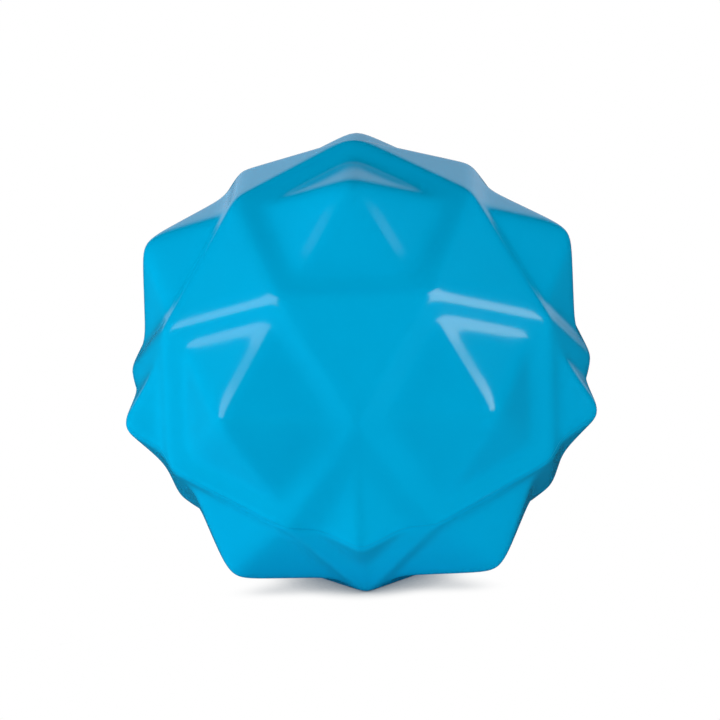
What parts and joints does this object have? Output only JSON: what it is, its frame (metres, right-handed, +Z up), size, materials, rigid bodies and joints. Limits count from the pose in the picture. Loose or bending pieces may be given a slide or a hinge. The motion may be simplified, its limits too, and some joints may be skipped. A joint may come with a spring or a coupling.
{
  "type": "bouncy ball",
  "caption": "Hollow rubber bouncy ball with a faceted outside: low pyramids on its pentagons and along its cemented seam make it bounce off at odd angles.",
  "frame": {"origin": "centre of the flat triangle that the ball stands on", "axes": "+Z up, square to the resting face; -Y towards the side that the picture shows; the ball is its own mirror image across X = 0"},
  "size_m": [0.0906, 0.0909, 0.0861],
  "materials": {
    "shell_rubber": "moulded, satin",
    "seam_cement": "cured cement, satin",
    "gum_rubber": "matt, unpigmented"
  },
  "bodies": {
    "root": {"upper_half_shell": "shell_rubber", "lower_half_shell": "shell_rubber", "seam_cement_ring": "seam_cement", "inflation_plug": "gum_rubber"}
  },
  "joints": []
}
